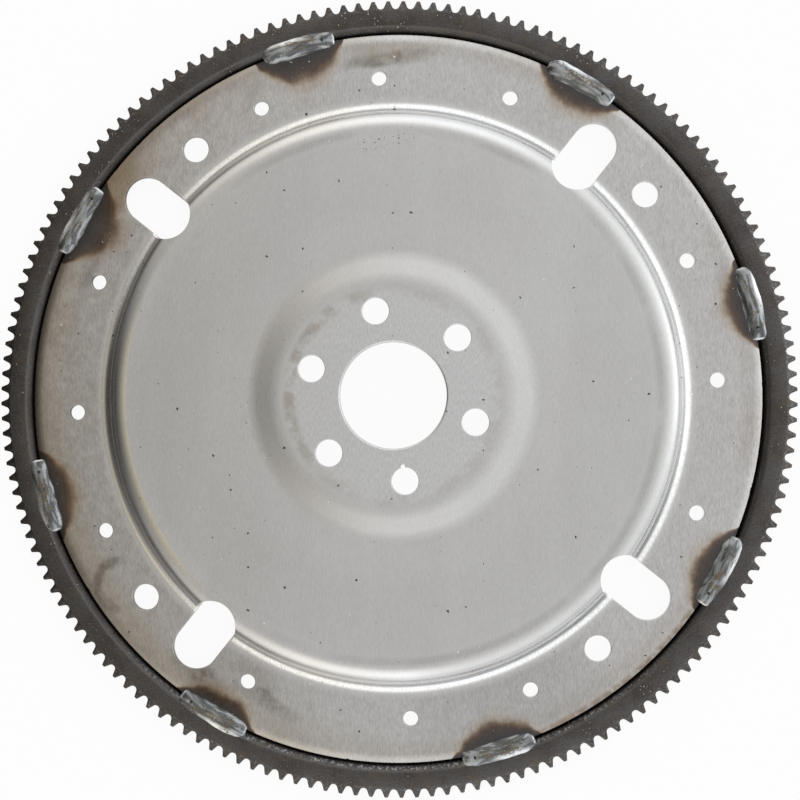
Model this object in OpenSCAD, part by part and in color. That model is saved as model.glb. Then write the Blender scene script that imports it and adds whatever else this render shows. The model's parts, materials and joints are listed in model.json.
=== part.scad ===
// Flexplate: a pressed steel plate that bolts to a crankshaft flange by its raised hub, carries
// a torque converter on four studs, and drives a starter ring that is stitch-welded to its rim.
// The axis is Z. The ring's rear face lies on Z = 0, and the hub is raised towards +Z.
// Angles run anticlockwise, seen from +Z, from the first converter stud hole, which is on +X.

/* [Plate] */
// Thickness of the pressed sheet
sheet_t = 3; // [2.4:0.1:3.6]
// Width of the flat annulus from the rim in to the outer step
annulus_w = 30.6; // [27:0.1:36]
// How far the plate's front lies below the ring's front face at the rim
plate_drop = 0.7; // [0:0.1:2]
// Width of the edge that blanking rolls over at the rim's front
rim_roll_w = 2.8; // [1.6:0.1:4]
// Depth of that rolled edge
rim_roll_drop = 0.7; // [0.4:0.1:1.5]

/* [Outer step] */
// Rise from the annulus to the middle disc
step_rise = 14; // [13.5:0.1:18]
// Slope of the outer step's wall
step_slope = 84; // [60:1:86]
// Middle radius of the outer step's two bends
step_bend_r = 7.1; // [4.5:0.1:7.5]

/* [Hub step] */
// Diameter where the hub's step leaves the middle disc
hub_foot_d = 130.4; // [124:0.1:140]
// Rise from the middle disc to the hub
hub_rise = 2.2; // [1.6:0.1:5]
// Slope of the hub's step
hub_slope = 12; // [9:1:16]
// Middle radius of the hub step's two bends
hub_bend_r = 26; // [12:1:34]

/* [Crank flange] */
// Diameter of the bore that fits the crank's register
bore_d = 47; // [40:0.1:56]
// Diameter of the circle of crank bolts
crank_pcd = 76.2; // [70:0.1:82]
// Diameter of a crank bolt hole
crank_hole_d = 11.9; // [9:0.1:13]
// Number of crank bolt holes
crank_count = 6; // [5:1:8]
// Angle of the first crank bolt hole
crank_turn = 3.04; // [-30:0.01:30]
// Which crank bolt hole is moved, so that the plate goes on in one place only
index_hole = 5; // [1:1:5]
// How far round the circle that hole is moved
index_shift = -4; // [-6:0.5:6]
// Diameter of the notch that marks the moved hole
index_notch_d = 2; // [1:0.1:3]

/* [Converter circle] */
// Radial distance from the rim in to the circle of converter studs
stud_inset = 19.62; // [13:0.01:22]
// Diameter of a converter stud hole
stud_hole_d = 11.7; // [9:0.1:14]
// Diameter of the small tooling holes between the studs
tooling_hole_d = 6.75; // [4:0.05:9]
// Angle from a stud hole to the tooling hole after the slot
tooling_turn_1 = 30; // [24:0.1:36]
// Angle from a stud hole to the second tooling hole
tooling_turn_2 = 54; // [50:0.1:62]
// Angle from a stud hole to the third tooling hole
tooling_turn_3 = 76; // [70:0.1:82]
// Angle by which the first tooling hole of the third quarter is moved
tooling_shift = -6.1; // [-8:0.1:8]

/* [Access slots] */
// Width of a slot
slot_w = 20.3; // [14:0.1:22]
// Length of a slot, end to end
slot_l = 34.8; // [26:0.1:38]
// Radial distance from the foot of the outer step out to the middle of a slot
slot_offset = 3.4; // [-2:0.1:6]
// Angle from a stud hole to the slot after it
slot_turn = 12.65; // [9:0.05:17]

/* [Starter ring] */
// Number of teeth
teeth = 164; // [148:4:176]
// Diameter over the tips of the teeth, which the size of the plate follows
tip_d = 360.4; // [330:0.1:400]
// Radial thickness of the ring from its bore to the tips of the teeth
ring_wall = 15.75; // [13:0.05:20]
// Height of a tooth
tooth_h = 4.15; // [3:0.05:4.8]
// Width of a tooth at its tip
tip_land = 1.45; // [0.9:0.05:1.9]
// Slope of a tooth's flanks from its middle line
flank_slope = 20; // [14:0.5:22]
// Angle of the first tooth's middle line
tooth_turn = -0.55; // [-1:0.05:1]
// Width of the ring's face
ring_w = 9.5; // [8:0.1:12]
// Radial clearance between the plate's rim and the ring's bore
rim_clearance = 0.05; // [0.02:0.01:0.15]
// Radius of the rounded front edge of the ring's bore
ring_edge_r = 3.7; // [2:0.1:3.9]
// Chamfer on the rear edge of the ring's bore
ring_rear_chamfer = 0.8; // [0.2:0.1:2]
// How far inside the tooth roots the front bevel of the teeth starts
tooth_bevel_inset = 0.9; // [0:0.1:3]
// Slope of that bevel from the ring's front face
tooth_bevel_slope = 24; // [10:1:40]

/* [Stitch welds] */
// Number of welds
weld_count = 8; // [4:1:12]
// Length of a weld, end to end
weld_l = 33; // [20:0.5:40]
// Width of a weld where it meets the ring's front face
weld_w = 9; // [7:0.1:11]
// Height of a weld over the ring's front face
weld_h = 1.6; // [0.8:0.1:3]
// Radial distance from the rim of the plate out to a weld's middle line
weld_offset = 1.0; // [0.5:0.1:2.5]
// Spacing of the ripples along a weld
weld_ripple = 2.4; // [1.8:0.1:4]
// Angle of the first weld
weld_turn = -24; // [-30:0.5:10]

/* [Hidden] */
$fn = 96;
round_fn = 360;
past = 1;
quarters = 4;

// Angles by which each hand-laid weld strays from even spacing
weld_stray = [-0.4, -0.4, 0.5, 1, 0.9, 0.5, 1.5, 2];

tip_r = tip_d / 2;
root_r = tip_r - tooth_h;
tooth_pitch = 360 / teeth;
ring_bore_r = tip_r - ring_wall;

plate_r = ring_bore_r - rim_clearance;
step_foot_r = plate_r - annulus_w;
stud_r = plate_r - stud_inset;
slot_r = step_foot_r + slot_offset;

plate_front = ring_w - plate_drop;
annulus_z = plate_front - sheet_t / 2;
disc_z = annulus_z + step_rise;
hub_z = disc_z + hub_rise;
overall_h = hub_z + sheet_t / 2;

// The moved tooling hole is the first one of this quarter
moved_quarter = 3;
tooling_turns = [tooling_turn_1, tooling_turn_2, tooling_turn_3];

// A weld is a row of overlapping round beads that are fused into the groove at the rim
bead_r = (pow(weld_w / 2, 2) + pow(weld_h, 2)) / (2 * weld_h);
bead_z = ring_w + weld_h - bead_r;
weld_r = plate_r + weld_offset;
weld_root_z = plate_front - sheet_t / 2;
bead_gaps = round((weld_l - weld_w) / weld_ripple);
bead_pitch = (weld_l - weld_w) / weld_r * 180 / PI / bead_gaps;

// Length of the straight wall of a step with two equal bends
function wall_length(rise, slope, bend_r) = (rise - 2 * bend_r * (1 - cos(slope))) / sin(slope);

// Radial run of a step from its foot to its top
function step_run(rise, slope, bend_r) =
    2 * bend_r * sin(slope) + wall_length(rise, slope, bend_r) * cos(slope);

// The two steps of the plate, from the rim inwards: foot radius, foot height, rise, slope, bend radius
steps = [
    [step_foot_r, annulus_z, step_rise, step_slope, step_bend_r],
    [hub_foot_d / 2, disc_z, hub_rise, hub_slope, hub_bend_r]
];

// Centres of a step's bends on the sheet's middle line: the foot's, above it, and the top's, below it
function foot_centre(s) = [s[0], s[1] + s[4]];
function top_centre(s) = [s[0] - step_run(s[2], s[3], s[4]), s[1] + s[2] - s[4]];

// Where a step's bends meet the flats and its wall, at a height over the sheet's middle line
function step_points(s, over) =
    let (down = [sin(s[3]), cos(s[3])])
    [
        [s[0], s[1] + over],
        foot_centre(s) - (s[4] - over) * down,
        top_centre(s) + (s[4] + over) * down,
        top_centre(s) + [0, s[4] + over]
    ];

// Turns a half section right round the axis
module turned() {
    rotate_extrude($fn = round_fn) children();
}

// All that lies under one side of the sheet in the half section
module under_sheet(over) {
    difference() {
        union() {
            polygon(concat(
                [[plate_r + past, -past], [plate_r + past, annulus_z + over]],
                [for (s = steps) each step_points(s, over)],
                [[0, hub_z + over], [0, -past]]
            ));
            for (s = steps)
                translate(top_centre(s)) circle(r = s[4] + over);
        }
        for (s = steps)
            translate(foot_centre(s)) circle(r = s[4] - over);
    }
}

// What blanking rolls away from the rim's front edge
module rim_roll() {
    roll_r = (pow(rim_roll_w, 2) + pow(rim_roll_drop, 2)) / (2 * rim_roll_drop);
    roll_start_r = plate_r - rim_roll_w;
    difference() {
        translate([roll_start_r, plate_front - rim_roll_drop])
            square([rim_roll_w + past, rim_roll_drop + past]);
        translate([roll_start_r, plate_front - roll_r])
            circle(r = roll_r);
    }
}

// Half section of the pressed plate
module plate_section() {
    difference() {
        intersection() {
            under_sheet(sheet_t / 2);
            translate([bore_d / 2, 0])
                square([plate_r - bore_d / 2, overall_h + past]);
        }
        under_sheet(-sheet_t / 2);
        rim_roll();
    }
}

// A round hole right through the plate, at a radius and an angle
module drill(hole_d, hole_r, angle) {
    rotate(angle)
        translate([hole_r, 0, -past])
            cylinder(d = hole_d, h = overall_h + 2 * past);
}

// The crank bolt holes, with the moved one and the notch that marks it
module crank_holes() {
    pitch_r = crank_pcd / 2;
    index_angle = crank_turn + (index_hole - 1) * 360 / crank_count + index_shift;
    for (i = [1 : crank_count])
        if (i != index_hole)
            drill(crank_hole_d, pitch_r, crank_turn + (i - 1) * 360 / crank_count);
    drill(crank_hole_d, pitch_r, index_angle);
    drill(index_notch_d, pitch_r - crank_hole_d / 2 - index_notch_d / 5, index_angle);
}

// The stud holes and tooling holes, which share one circle
module converter_holes() {
    for (q = [1 : quarters]) {
        quarter_turn = (q - 1) * 360 / quarters;
        drill(stud_hole_d, stud_r, quarter_turn);
        for (i = [0 : len(tooling_turns) - 1]) {
            shift = q == moved_quarter && i == 0 ? tooling_shift : 0;
            drill(tooling_hole_d, stud_r, quarter_turn + tooling_turns[i] + shift);
        }
    }
}

// The round-ended slots, which give access through the step of the plate
module access_slots() {
    straight = slot_l - slot_w;
    for (q = [1 : quarters])
        rotate(slot_turn + (q - 1) * 360 / quarters)
            translate([slot_r, 0, -past])
                linear_extrude(overall_h + 2 * past) {
                    square([straight, slot_w], center = true);
                    for (side = [-1, 1])
                        translate([side * straight / 2, 0])
                            circle(d = slot_w);
                }
}

module plate() {
    color([0.70, 0.69, 0.67])
        difference() {
            turned() plate_section();
            crank_holes();
            converter_holes();
            access_slots();
        }
}

// Outline of the teeth: straight flanks and a round root that is tangent to both of them
module tooth_outline() {
    gap_slope = flank_slope + tooth_pitch / 2;
    gap_turn = tooth_pitch / 2 - asin(tip_land / 2 / tip_r);
    corner = tip_r * [cos(gap_turn), sin(gap_turn)];
    fillet = (corner.y - (corner.x - root_r) * tan(gap_slope)) * cos(gap_slope) / (1 - sin(gap_slope));
    fillet_steps = 6;
    fillet_turn = (180 - 2 * gap_slope) / fillet_steps;
    gap = concat(
        [corner],
        [for (i = [0 : fillet_steps])
            let (angle = 90 + gap_slope + i * fillet_turn)
            [root_r + fillet + fillet * cos(angle), fillet * sin(angle)]],
        [[corner.x, -corner.y]]
    );
    polygon([
        for (t = [0 : teeth - 1])
            for (p = gap)
                let (angle = tooth_turn - (t + 0.5) * tooth_pitch)
                [p.x * cos(angle) - p.y * sin(angle), p.x * sin(angle) + p.y * cos(angle)]
    ]);
}

// Half section of the ring, past the tips of its teeth: the front is bevelled over the teeth
module ring_section() {
    outer_r = tip_r + past;
    bevel_r = root_r - tooth_bevel_inset;
    difference() {
        polygon([
            [ring_bore_r + ring_rear_chamfer, 0],
            [outer_r, 0],
            [outer_r, ring_w - (outer_r - bevel_r) * tan(tooth_bevel_slope)],
            [bevel_r, ring_w],
            [ring_bore_r, ring_w],
            [ring_bore_r, ring_rear_chamfer]
        ]);
        difference() {
            translate([ring_bore_r - past, ring_w - ring_edge_r])
                square([ring_edge_r + past, ring_edge_r + past]);
            translate([ring_bore_r + ring_edge_r, ring_w - ring_edge_r])
                circle(r = ring_edge_r);
        }
    }
}

module ring_gear() {
    color([0.27, 0.26, 0.25])
        intersection() {
            turned() ring_section();
            translate([0, 0, -past])
                linear_extrude(ring_w + 2 * past) tooth_outline();
        }
}

// One weld: a row of round beads, cut away where the plate and the ring already are
module weld_bead(i) {
    middle = weld_turn + (i - 1) * 360 / weld_count + weld_stray[(i - 1) % len(weld_stray)];
    color([0.62, 0.63, 0.64])
        difference() {
            for (bead = [0 : bead_gaps])
                rotate(middle + (bead - bead_gaps / 2) * bead_pitch)
                    translate([weld_r, 0, bead_z])
                        sphere(r = bead_r);
            turned() plate_section();
            turned() ring_section();
            translate([0, 0, -weld_w])
                cylinder(r = tip_r, h = weld_root_z + weld_w, $fn = round_fn);
        }
}

plate();
ring_gear();
for (i = [1 : weld_count])
    weld_bead(i);
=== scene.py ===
"""Looks of the flexplate: a pressed steel plate, its dark starter ring and eight stitch welds."""
import json
import math

import bmesh
import bpy
from mathutils import Matrix, Vector, noise


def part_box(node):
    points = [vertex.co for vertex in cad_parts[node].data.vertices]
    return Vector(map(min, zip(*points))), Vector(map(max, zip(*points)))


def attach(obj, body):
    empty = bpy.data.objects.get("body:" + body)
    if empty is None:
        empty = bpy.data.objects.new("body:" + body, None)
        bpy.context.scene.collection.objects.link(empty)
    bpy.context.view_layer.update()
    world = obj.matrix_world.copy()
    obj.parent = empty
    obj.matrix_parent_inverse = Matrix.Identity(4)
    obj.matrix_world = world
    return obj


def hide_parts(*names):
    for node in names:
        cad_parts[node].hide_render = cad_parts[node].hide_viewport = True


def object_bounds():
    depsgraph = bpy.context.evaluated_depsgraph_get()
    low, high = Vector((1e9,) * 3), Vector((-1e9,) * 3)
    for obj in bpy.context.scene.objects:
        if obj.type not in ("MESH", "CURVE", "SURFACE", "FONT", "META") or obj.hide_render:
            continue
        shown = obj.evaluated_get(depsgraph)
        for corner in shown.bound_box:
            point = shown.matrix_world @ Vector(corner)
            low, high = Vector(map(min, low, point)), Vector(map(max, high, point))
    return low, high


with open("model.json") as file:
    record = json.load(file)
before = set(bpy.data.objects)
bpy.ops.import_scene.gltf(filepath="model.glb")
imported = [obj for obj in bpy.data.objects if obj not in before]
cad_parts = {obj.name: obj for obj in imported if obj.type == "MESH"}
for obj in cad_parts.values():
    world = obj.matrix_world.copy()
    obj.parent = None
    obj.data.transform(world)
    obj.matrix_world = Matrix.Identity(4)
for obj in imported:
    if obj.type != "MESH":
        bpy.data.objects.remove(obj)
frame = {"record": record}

cad_low, cad_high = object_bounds()

MM = 0.001
DEG = math.pi / 180
TURN = 2 * math.pi

# Camera, as fitted to the picture: distances in metres, angles in the part's own frame
PICTURE_SIDE = 800
FOCAL_PIXELS = 1463.3
AXIS_PIXEL = (394.67, 396.33)
SENSOR_MM = 36
CAMERA_REACH = 660 * MM
CAMERA_TILT = 2.92 * DEG
CAMERA_TILT_TOWARDS = -72.03 * DEG
PICTURE_TURN = 38.83 * DEG
PIXELS_PER_M = FOCAL_PIXELS / CAMERA_REACH

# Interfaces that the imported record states
mounts = {mount["name"]: mount for mount in frame["record"]["mounts"]}
HUB_FRONT = mounts["crank_face"]["pos_m"][2]
ANNULUS_REAR = mounts["converter_face"]["pos_m"][2]
BORE_R = mounts["crank_register"]["dims"]["r_mm"] * MM
STUD_R = mounts["converter_studs"]["dims"]["pcd_mm"] * MM / 2
STUD_HOLE_R = mounts["converter_studs"]["dims"]["hole_r_mm"] * MM
CRANK_HOLE_R = mounts["crank_bolts_a"]["dims"]["hole_r_mm"] * MM

# Plate
SHEET_T = 3 * MM
RING_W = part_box("ring_gear")[1][2]
PLATE_R = 164.4 * MM
RIM_ROLL_W = 3.8 * MM
RIM_ROLL_DROP = 0.95 * MM
STEP_FOOT_R = 133.8 * MM
STEP_RISE = 14 * MM
STEP_SLOPE = 84 * DEG
STEP_BEND_R = 7.1 * MM
HUB_FOOT_R = 65.2 * MM
HUB_RISE = 2.2 * MM
HUB_SLOPE = 12 * DEG
HUB_BEND_R = 26 * MM
EDGE_ROLL = 0.5 * MM
BORE_ROLL = 0.9 * MM
ANNULUS_FRONT = ANNULUS_REAR + SHEET_T
ANNULUS_MIDDLE = ANNULUS_REAR + SHEET_T / 2
DISC_MIDDLE = ANNULUS_MIDDLE + STEP_RISE

# Holes, with angles from the first stud hole
CRANK_PITCH_R = 38.1 * MM
CRANK_TURNS = [3.04 + 60 * i for i in range(4)] + [239.04, 303.04]
INDEX_TURN = CRANK_TURNS[4]
INDEX_NOTCH_R = 1 * MM
INDEX_NOTCH_OUT = 0.4 * MM
TOOLING_HOLE_R = 3.375 * MM
TOOLING_TURNS = (30, 54, 76)
MOVED_TOOLING_TURN = 210
MOVED_TOOLING_SHIFT = -6.1
SLOT_R = 137.2 * MM
SLOT_L = 34.8 * MM
SLOT_W = 20.3 * MM
SLOT_TURN = 12.65

# Starter ring
TEETH = 164
TIP_R = 180.2 * MM
TOOTH_H = 4.15 * MM
TIP_LAND = 1.45 * MM
FLANK_SLOPE = 20 * DEG
TOOTH_TURN = -0.55 * DEG
RING_BORE_R = 164.45 * MM
RING_EDGE_R = 3.7 * MM
RING_EDGE_BLEND = 0.9 * MM
TOOTH_BEVEL_INSET = 0.9 * MM
TOOTH_BEVEL_SLOPE = 24 * DEG
TOOTH_EDGE = 0.22 * MM
ROOT_R = TIP_R - TOOTH_H
BEVEL_R = ROOT_R - TOOTH_BEVEL_INSET

# Stitch welds
WELD_COUNT = 8
WELD_R = 165.4 * MM
WELD_L = 34 * MM


def node_turn(node):
    """Angle of a node's middle round the axis."""
    low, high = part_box(node)
    return math.atan2(low[1] + high[1], low[0] + high[0])


WELD_TURNS = [node_turn(f"weld_bead_{i}") for i in range(1, WELD_COUNT + 1)]


# Mesh tools

MERGE = 0.001 * MM


class Pen:
    """Draws a chain of edges in a mesh: straight runs and round bends about one axis."""

    def __init__(self, mesh, start, axis):
        self.mesh = mesh
        self.axis = axis
        self.tip = mesh.verts.new(start)

    def line(self, *points):
        """Goes straight from point to point."""
        for point in points:
            drawn = bmesh.ops.extrude_vert_indiv(self.mesh, verts=[self.tip])
            self.tip = drawn["verts"][0]
            self.tip.co = point

    def bend(self, centre, turn, steps):
        """Goes round a centre."""
        drawn = bmesh.ops.spin(
            self.mesh, geom=[self.tip], cent=centre, axis=self.axis, angle=turn, steps=steps)
        self.tip = [part for part in drawn["geom_last"] if isinstance(part, bmesh.types.BMVert)][0]


def section(radius, height):
    """A point of a half section."""
    return Vector((radius, 0, height))


def turned(radius, angle, height=0.0):
    """A point at a radius and an angle round the axis."""
    return Vector((radius * math.cos(angle), radius * math.sin(angle), height))


def spin_round(mesh, steps):
    """Turns a half section right round the axis into a closed skin."""
    bmesh.ops.remove_doubles(mesh, verts=mesh.verts, dist=MERGE)
    bmesh.ops.spin(
        mesh, geom=mesh.verts[:] + mesh.edges[:], cent=(0, 0, 0), axis=(0, 0, 1), angle=TURN, steps=steps,
        use_merge=True)
    close_skin(mesh)


def close_skin(mesh):
    """Merges what meets and points the faces outwards."""
    bmesh.ops.remove_doubles(mesh, verts=mesh.verts, dist=MERGE)
    bmesh.ops.recalc_face_normals(mesh, faces=mesh.faces)


def make_object(name, mesh):
    """A new object in the scene that holds the mesh."""
    data = bpy.data.meshes.new(name)
    mesh.to_mesh(data)
    mesh.free()
    piece = bpy.data.objects.new(name, data)
    bpy.context.scene.collection.objects.link(piece)
    return piece


def shade(piece, sharp_from):
    """Smooth shading with hard edges over an angle."""
    piece.data.shade_smooth()
    piece.data.set_sharp_from_angle(angle=sharp_from)


def cut_away(piece, cutter):
    """Cuts one object out of another and deletes the cutter."""
    cut = piece.modifiers.new("cut", "BOOLEAN")
    cut.operation = "DIFFERENCE"
    cut.solver = "EXACT"
    cut.object = cutter
    graph = bpy.context.evaluated_depsgraph_get()
    cut_mesh = bpy.data.meshes.new_from_object(piece.evaluated_get(graph))
    uncut_mesh = piece.data
    cutter_mesh = cutter.data
    piece.modifiers.clear()
    piece.data = cut_mesh
    cut_mesh.name = piece.name
    bpy.data.objects.remove(cutter)
    bpy.data.meshes.remove(uncut_mesh)
    bpy.data.meshes.remove(cutter_mesh)


# Pressed plate

HOLDING = 0.4 * MM
PLATE_STEPS = 384
STEP_BEND_STEPS = 16
HUB_BEND_STEPS = 10
ROLL_STEPS = 10
PLATE_SHARP = 20 * DEG


def step_points(foot_r, middle, rise, slope, bend_r):
    """Centres of a step's two bends: the foot's, over the sheet, and the top's, under it."""
    wall = (rise - 2 * bend_r * (1 - math.cos(slope))) / math.sin(slope)
    run = 2 * bend_r * math.sin(slope) + wall * math.cos(slope)
    return section(foot_r, middle + bend_r), section(foot_r - run, middle + rise - bend_r)


def draw_step_up(pen, centres, slope, bend_r, over, steps):
    """Draws one side of a step from its foot to its top."""
    foot, top = centres
    across = Vector((math.sin(slope), 0, math.cos(slope)))
    pen.line(foot + Vector((HOLDING, 0, over - bend_r)), foot + Vector((0, 0, over - bend_r)))
    pen.bend(foot, slope, steps)
    pen.line(top + across * (bend_r + over))
    pen.bend(top, -slope, steps)
    pen.line(top + Vector((-HOLDING, 0, bend_r + over)))


def draw_step_down(pen, centres, slope, bend_r, over, steps):
    """Draws one side of a step from its top to its foot."""
    foot, top = centres
    across = Vector((math.sin(slope), 0, math.cos(slope)))
    pen.line(top + Vector((-HOLDING, 0, bend_r + over)), top + Vector((0, 0, bend_r + over)))
    pen.bend(top, slope, steps)
    pen.line(foot - across * (bend_r - over))
    pen.bend(foot, -slope, steps)
    pen.line(foot + Vector((HOLDING, 0, over - bend_r)))


def draw_plate_section(mesh):
    """Half section of the sheet, from the rim in along the front and back along the rear."""
    outer = step_points(STEP_FOOT_R, ANNULUS_MIDDLE, STEP_RISE, STEP_SLOPE, STEP_BEND_R)
    hub = step_points(HUB_FOOT_R, DISC_MIDDLE, HUB_RISE, HUB_SLOPE, HUB_BEND_R)
    half = SHEET_T / 2
    roll_r = (RIM_ROLL_W ** 2 + RIM_ROLL_DROP ** 2) / (2 * RIM_ROLL_DROP)
    roll_turn = math.asin(RIM_ROLL_W / roll_r)
    rim_corner = section(PLATE_R, ANNULUS_FRONT - RIM_ROLL_DROP)
    pen = Pen(mesh, rim_corner, (0, 1, 0))
    pen.bend(section(PLATE_R - RIM_ROLL_W, ANNULUS_FRONT - roll_r), -roll_turn, ROLL_STEPS)
    pen.line(section(PLATE_R - RIM_ROLL_W - HOLDING, ANNULUS_FRONT))
    draw_step_up(pen, outer, STEP_SLOPE, STEP_BEND_R, half, STEP_BEND_STEPS)
    draw_step_up(pen, hub, HUB_SLOPE, HUB_BEND_R, half, HUB_BEND_STEPS)
    pen.line(section(BORE_R + BORE_ROLL + HOLDING, HUB_FRONT), section(BORE_R + BORE_ROLL, HUB_FRONT))
    pen.bend(section(BORE_R + BORE_ROLL, HUB_FRONT - BORE_ROLL), -math.pi / 2, ROLL_STEPS)
    pen.line(section(BORE_R, HUB_FRONT - SHEET_T))
    draw_step_down(pen, hub, HUB_SLOPE, HUB_BEND_R, -half, HUB_BEND_STEPS)
    draw_step_down(pen, outer, STEP_SLOPE, STEP_BEND_R, -half, STEP_BEND_STEPS)
    pen.line(section(PLATE_R, ANNULUS_REAR), rim_corner)


PUNCH_PAST = 2 * MM
PUNCH_STEPS = 64
ROLL_TURN = 65 * DEG


def punch_hole(mesh, radius, front, high, place_r, angle, stretch=0.0):
    """A punch that leaves a rolled front edge: a round one, or one stretched along its own radius."""
    punch = bmesh.new()
    low = front - SHEET_T - PUNCH_PAST
    roll_start = front - EDGE_ROLL * math.sin(ROLL_TURN)
    flare = Vector((math.sin(ROLL_TURN), 0, math.cos(ROLL_TURN)))
    pen = Pen(punch, section(0, low), (0, 1, 0))
    pen.line(section(radius, low), section(radius, roll_start))
    pen.bend(section(radius + EDGE_ROLL, roll_start), ROLL_TURN, ROLL_STEPS // 2)
    pen.line(pen.tip.co + flare * EDGE_ROLL)
    pen.line(section(pen.tip.co.x, high), section(0, high))
    spin_round(punch, PUNCH_STEPS)
    bmesh.ops.rotate(
        punch, verts=punch.verts, cent=(0, 0, 0), matrix=Matrix.Rotation(math.pi / PUNCH_STEPS, 3, "Z"))
    for vert in punch.verts:
        vert.co.x += math.copysign(stretch / 2, vert.co.x)
    bmesh.ops.translate(punch, verts=punch.verts, vec=(place_r, 0, 0))
    bmesh.ops.rotate(punch, verts=punch.verts, cent=(0, 0, 0), matrix=Matrix.Rotation(angle, 3, "Z"))
    add_mesh(mesh, punch)


def add_mesh(mesh, part):
    """Adds one mesh to another."""
    data = bpy.data.meshes.new("part")
    part.to_mesh(data)
    part.free()
    mesh.from_mesh(data)
    bpy.data.meshes.remove(data)


def make_plate():
    """The pressed and pierced sheet."""
    mesh = bmesh.new()
    draw_plate_section(mesh)
    spin_round(mesh, PLATE_STEPS)
    plate = make_object("pressed_plate", mesh)

    hub_top = HUB_FRONT + PUNCH_PAST
    annulus_top = ANNULUS_FRONT + PUNCH_PAST
    punches = bmesh.new()
    for crank_turn in CRANK_TURNS:
        punch_hole(punches, CRANK_HOLE_R, HUB_FRONT, hub_top, CRANK_PITCH_R, crank_turn * DEG)
    for quarter in (0, 90, 180, 270):
        punch_hole(punches, STUD_HOLE_R, ANNULUS_FRONT, annulus_top, STUD_R, quarter * DEG)
        punch_hole(
            punches, SLOT_W / 2, ANNULUS_FRONT, hub_top, SLOT_R, (quarter + SLOT_TURN) * DEG,
            stretch=SLOT_L - SLOT_W)
        for tooling_turn in TOOLING_TURNS:
            hole_turn = quarter + tooling_turn
            if hole_turn == MOVED_TOOLING_TURN:
                hole_turn += MOVED_TOOLING_SHIFT
            punch_hole(punches, TOOLING_HOLE_R, ANNULUS_FRONT, annulus_top, STUD_R, hole_turn * DEG)
    cut_away(plate, make_object("punches", punches))

    notch = bmesh.new()
    notch_r = CRANK_PITCH_R - CRANK_HOLE_R - INDEX_NOTCH_OUT
    punch_hole(notch, INDEX_NOTCH_R, HUB_FRONT, hub_top, notch_r, INDEX_TURN * DEG)
    cut_away(plate, make_object("notch", notch))
    shade(plate, PLATE_SHARP)
    return plate


# Starter ring

FILLET_STEPS = 4
EDGE_STEPS = 3
TOOTH_EDGE_STEPS = 2
RING_SHARP = 32 * DEG
HARD_TURN = 30 * DEG
HALF_PITCH = math.pi / TEETH
SIDE_SLACK = 0.0001 * HALF_PITCH
TOOTH_SLACK = 0.1 * MM
SHOULDER_SLACK = 0.5 * MM


def draw_tooth_outline(mesh):
    """Outline of one tooth and the ring behind it, from the middle of a gap to the next one."""
    gap_slope = FLANK_SLOPE + HALF_PITCH
    gap_turn = HALF_PITCH - math.asin(TIP_LAND / 2 / TIP_R)
    reach = TIP_R * math.cos(gap_turn) - ROOT_R
    gap_half = TIP_R * math.sin(gap_turn)
    fillet = (gap_half - reach * math.tan(gap_slope)) * math.cos(gap_slope) / (1 - math.sin(gap_slope))
    pen = Pen(mesh, turned(RING_BORE_R, 0), (0, 0, 1))
    pen.line(turned(RING_BORE_R, HALF_PITCH), turned(ROOT_R, HALF_PITCH))
    pen.bend(turned(ROOT_R + fillet, HALF_PITCH), math.pi / 2 - gap_slope, FILLET_STEPS)
    pen.line(turned(TIP_R, HALF_PITCH - gap_turn), section(TIP_R, 0))
    bmesh.ops.mirror(mesh, geom=mesh.verts[:] + mesh.edges[:], axis="Y", merge_dist=MERGE)
    bmesh.ops.remove_doubles(mesh, verts=mesh.verts, dist=MERGE)
    bmesh.ops.contextual_create(mesh, geom=mesh.edges[:])


def on_side(face):
    """Whether a face lies on one of the two planes that cut the tooth from its neighbours."""
    turns = [abs(math.atan2(vert.co.y, vert.co.x)) for vert in face.verts]
    return all(abs(turn - HALF_PITCH) < SIDE_SLACK for turn in turns)


def hard_edges(mesh):
    """Edges that turn by more than a little, apart from those of the two cutting planes."""
    return [
        edge for edge in mesh.edges
        if len(edge.link_faces) == 2 and edge.calc_face_angle() > HARD_TURN
        and not any(on_side(face) for face in edge.link_faces)]


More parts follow.
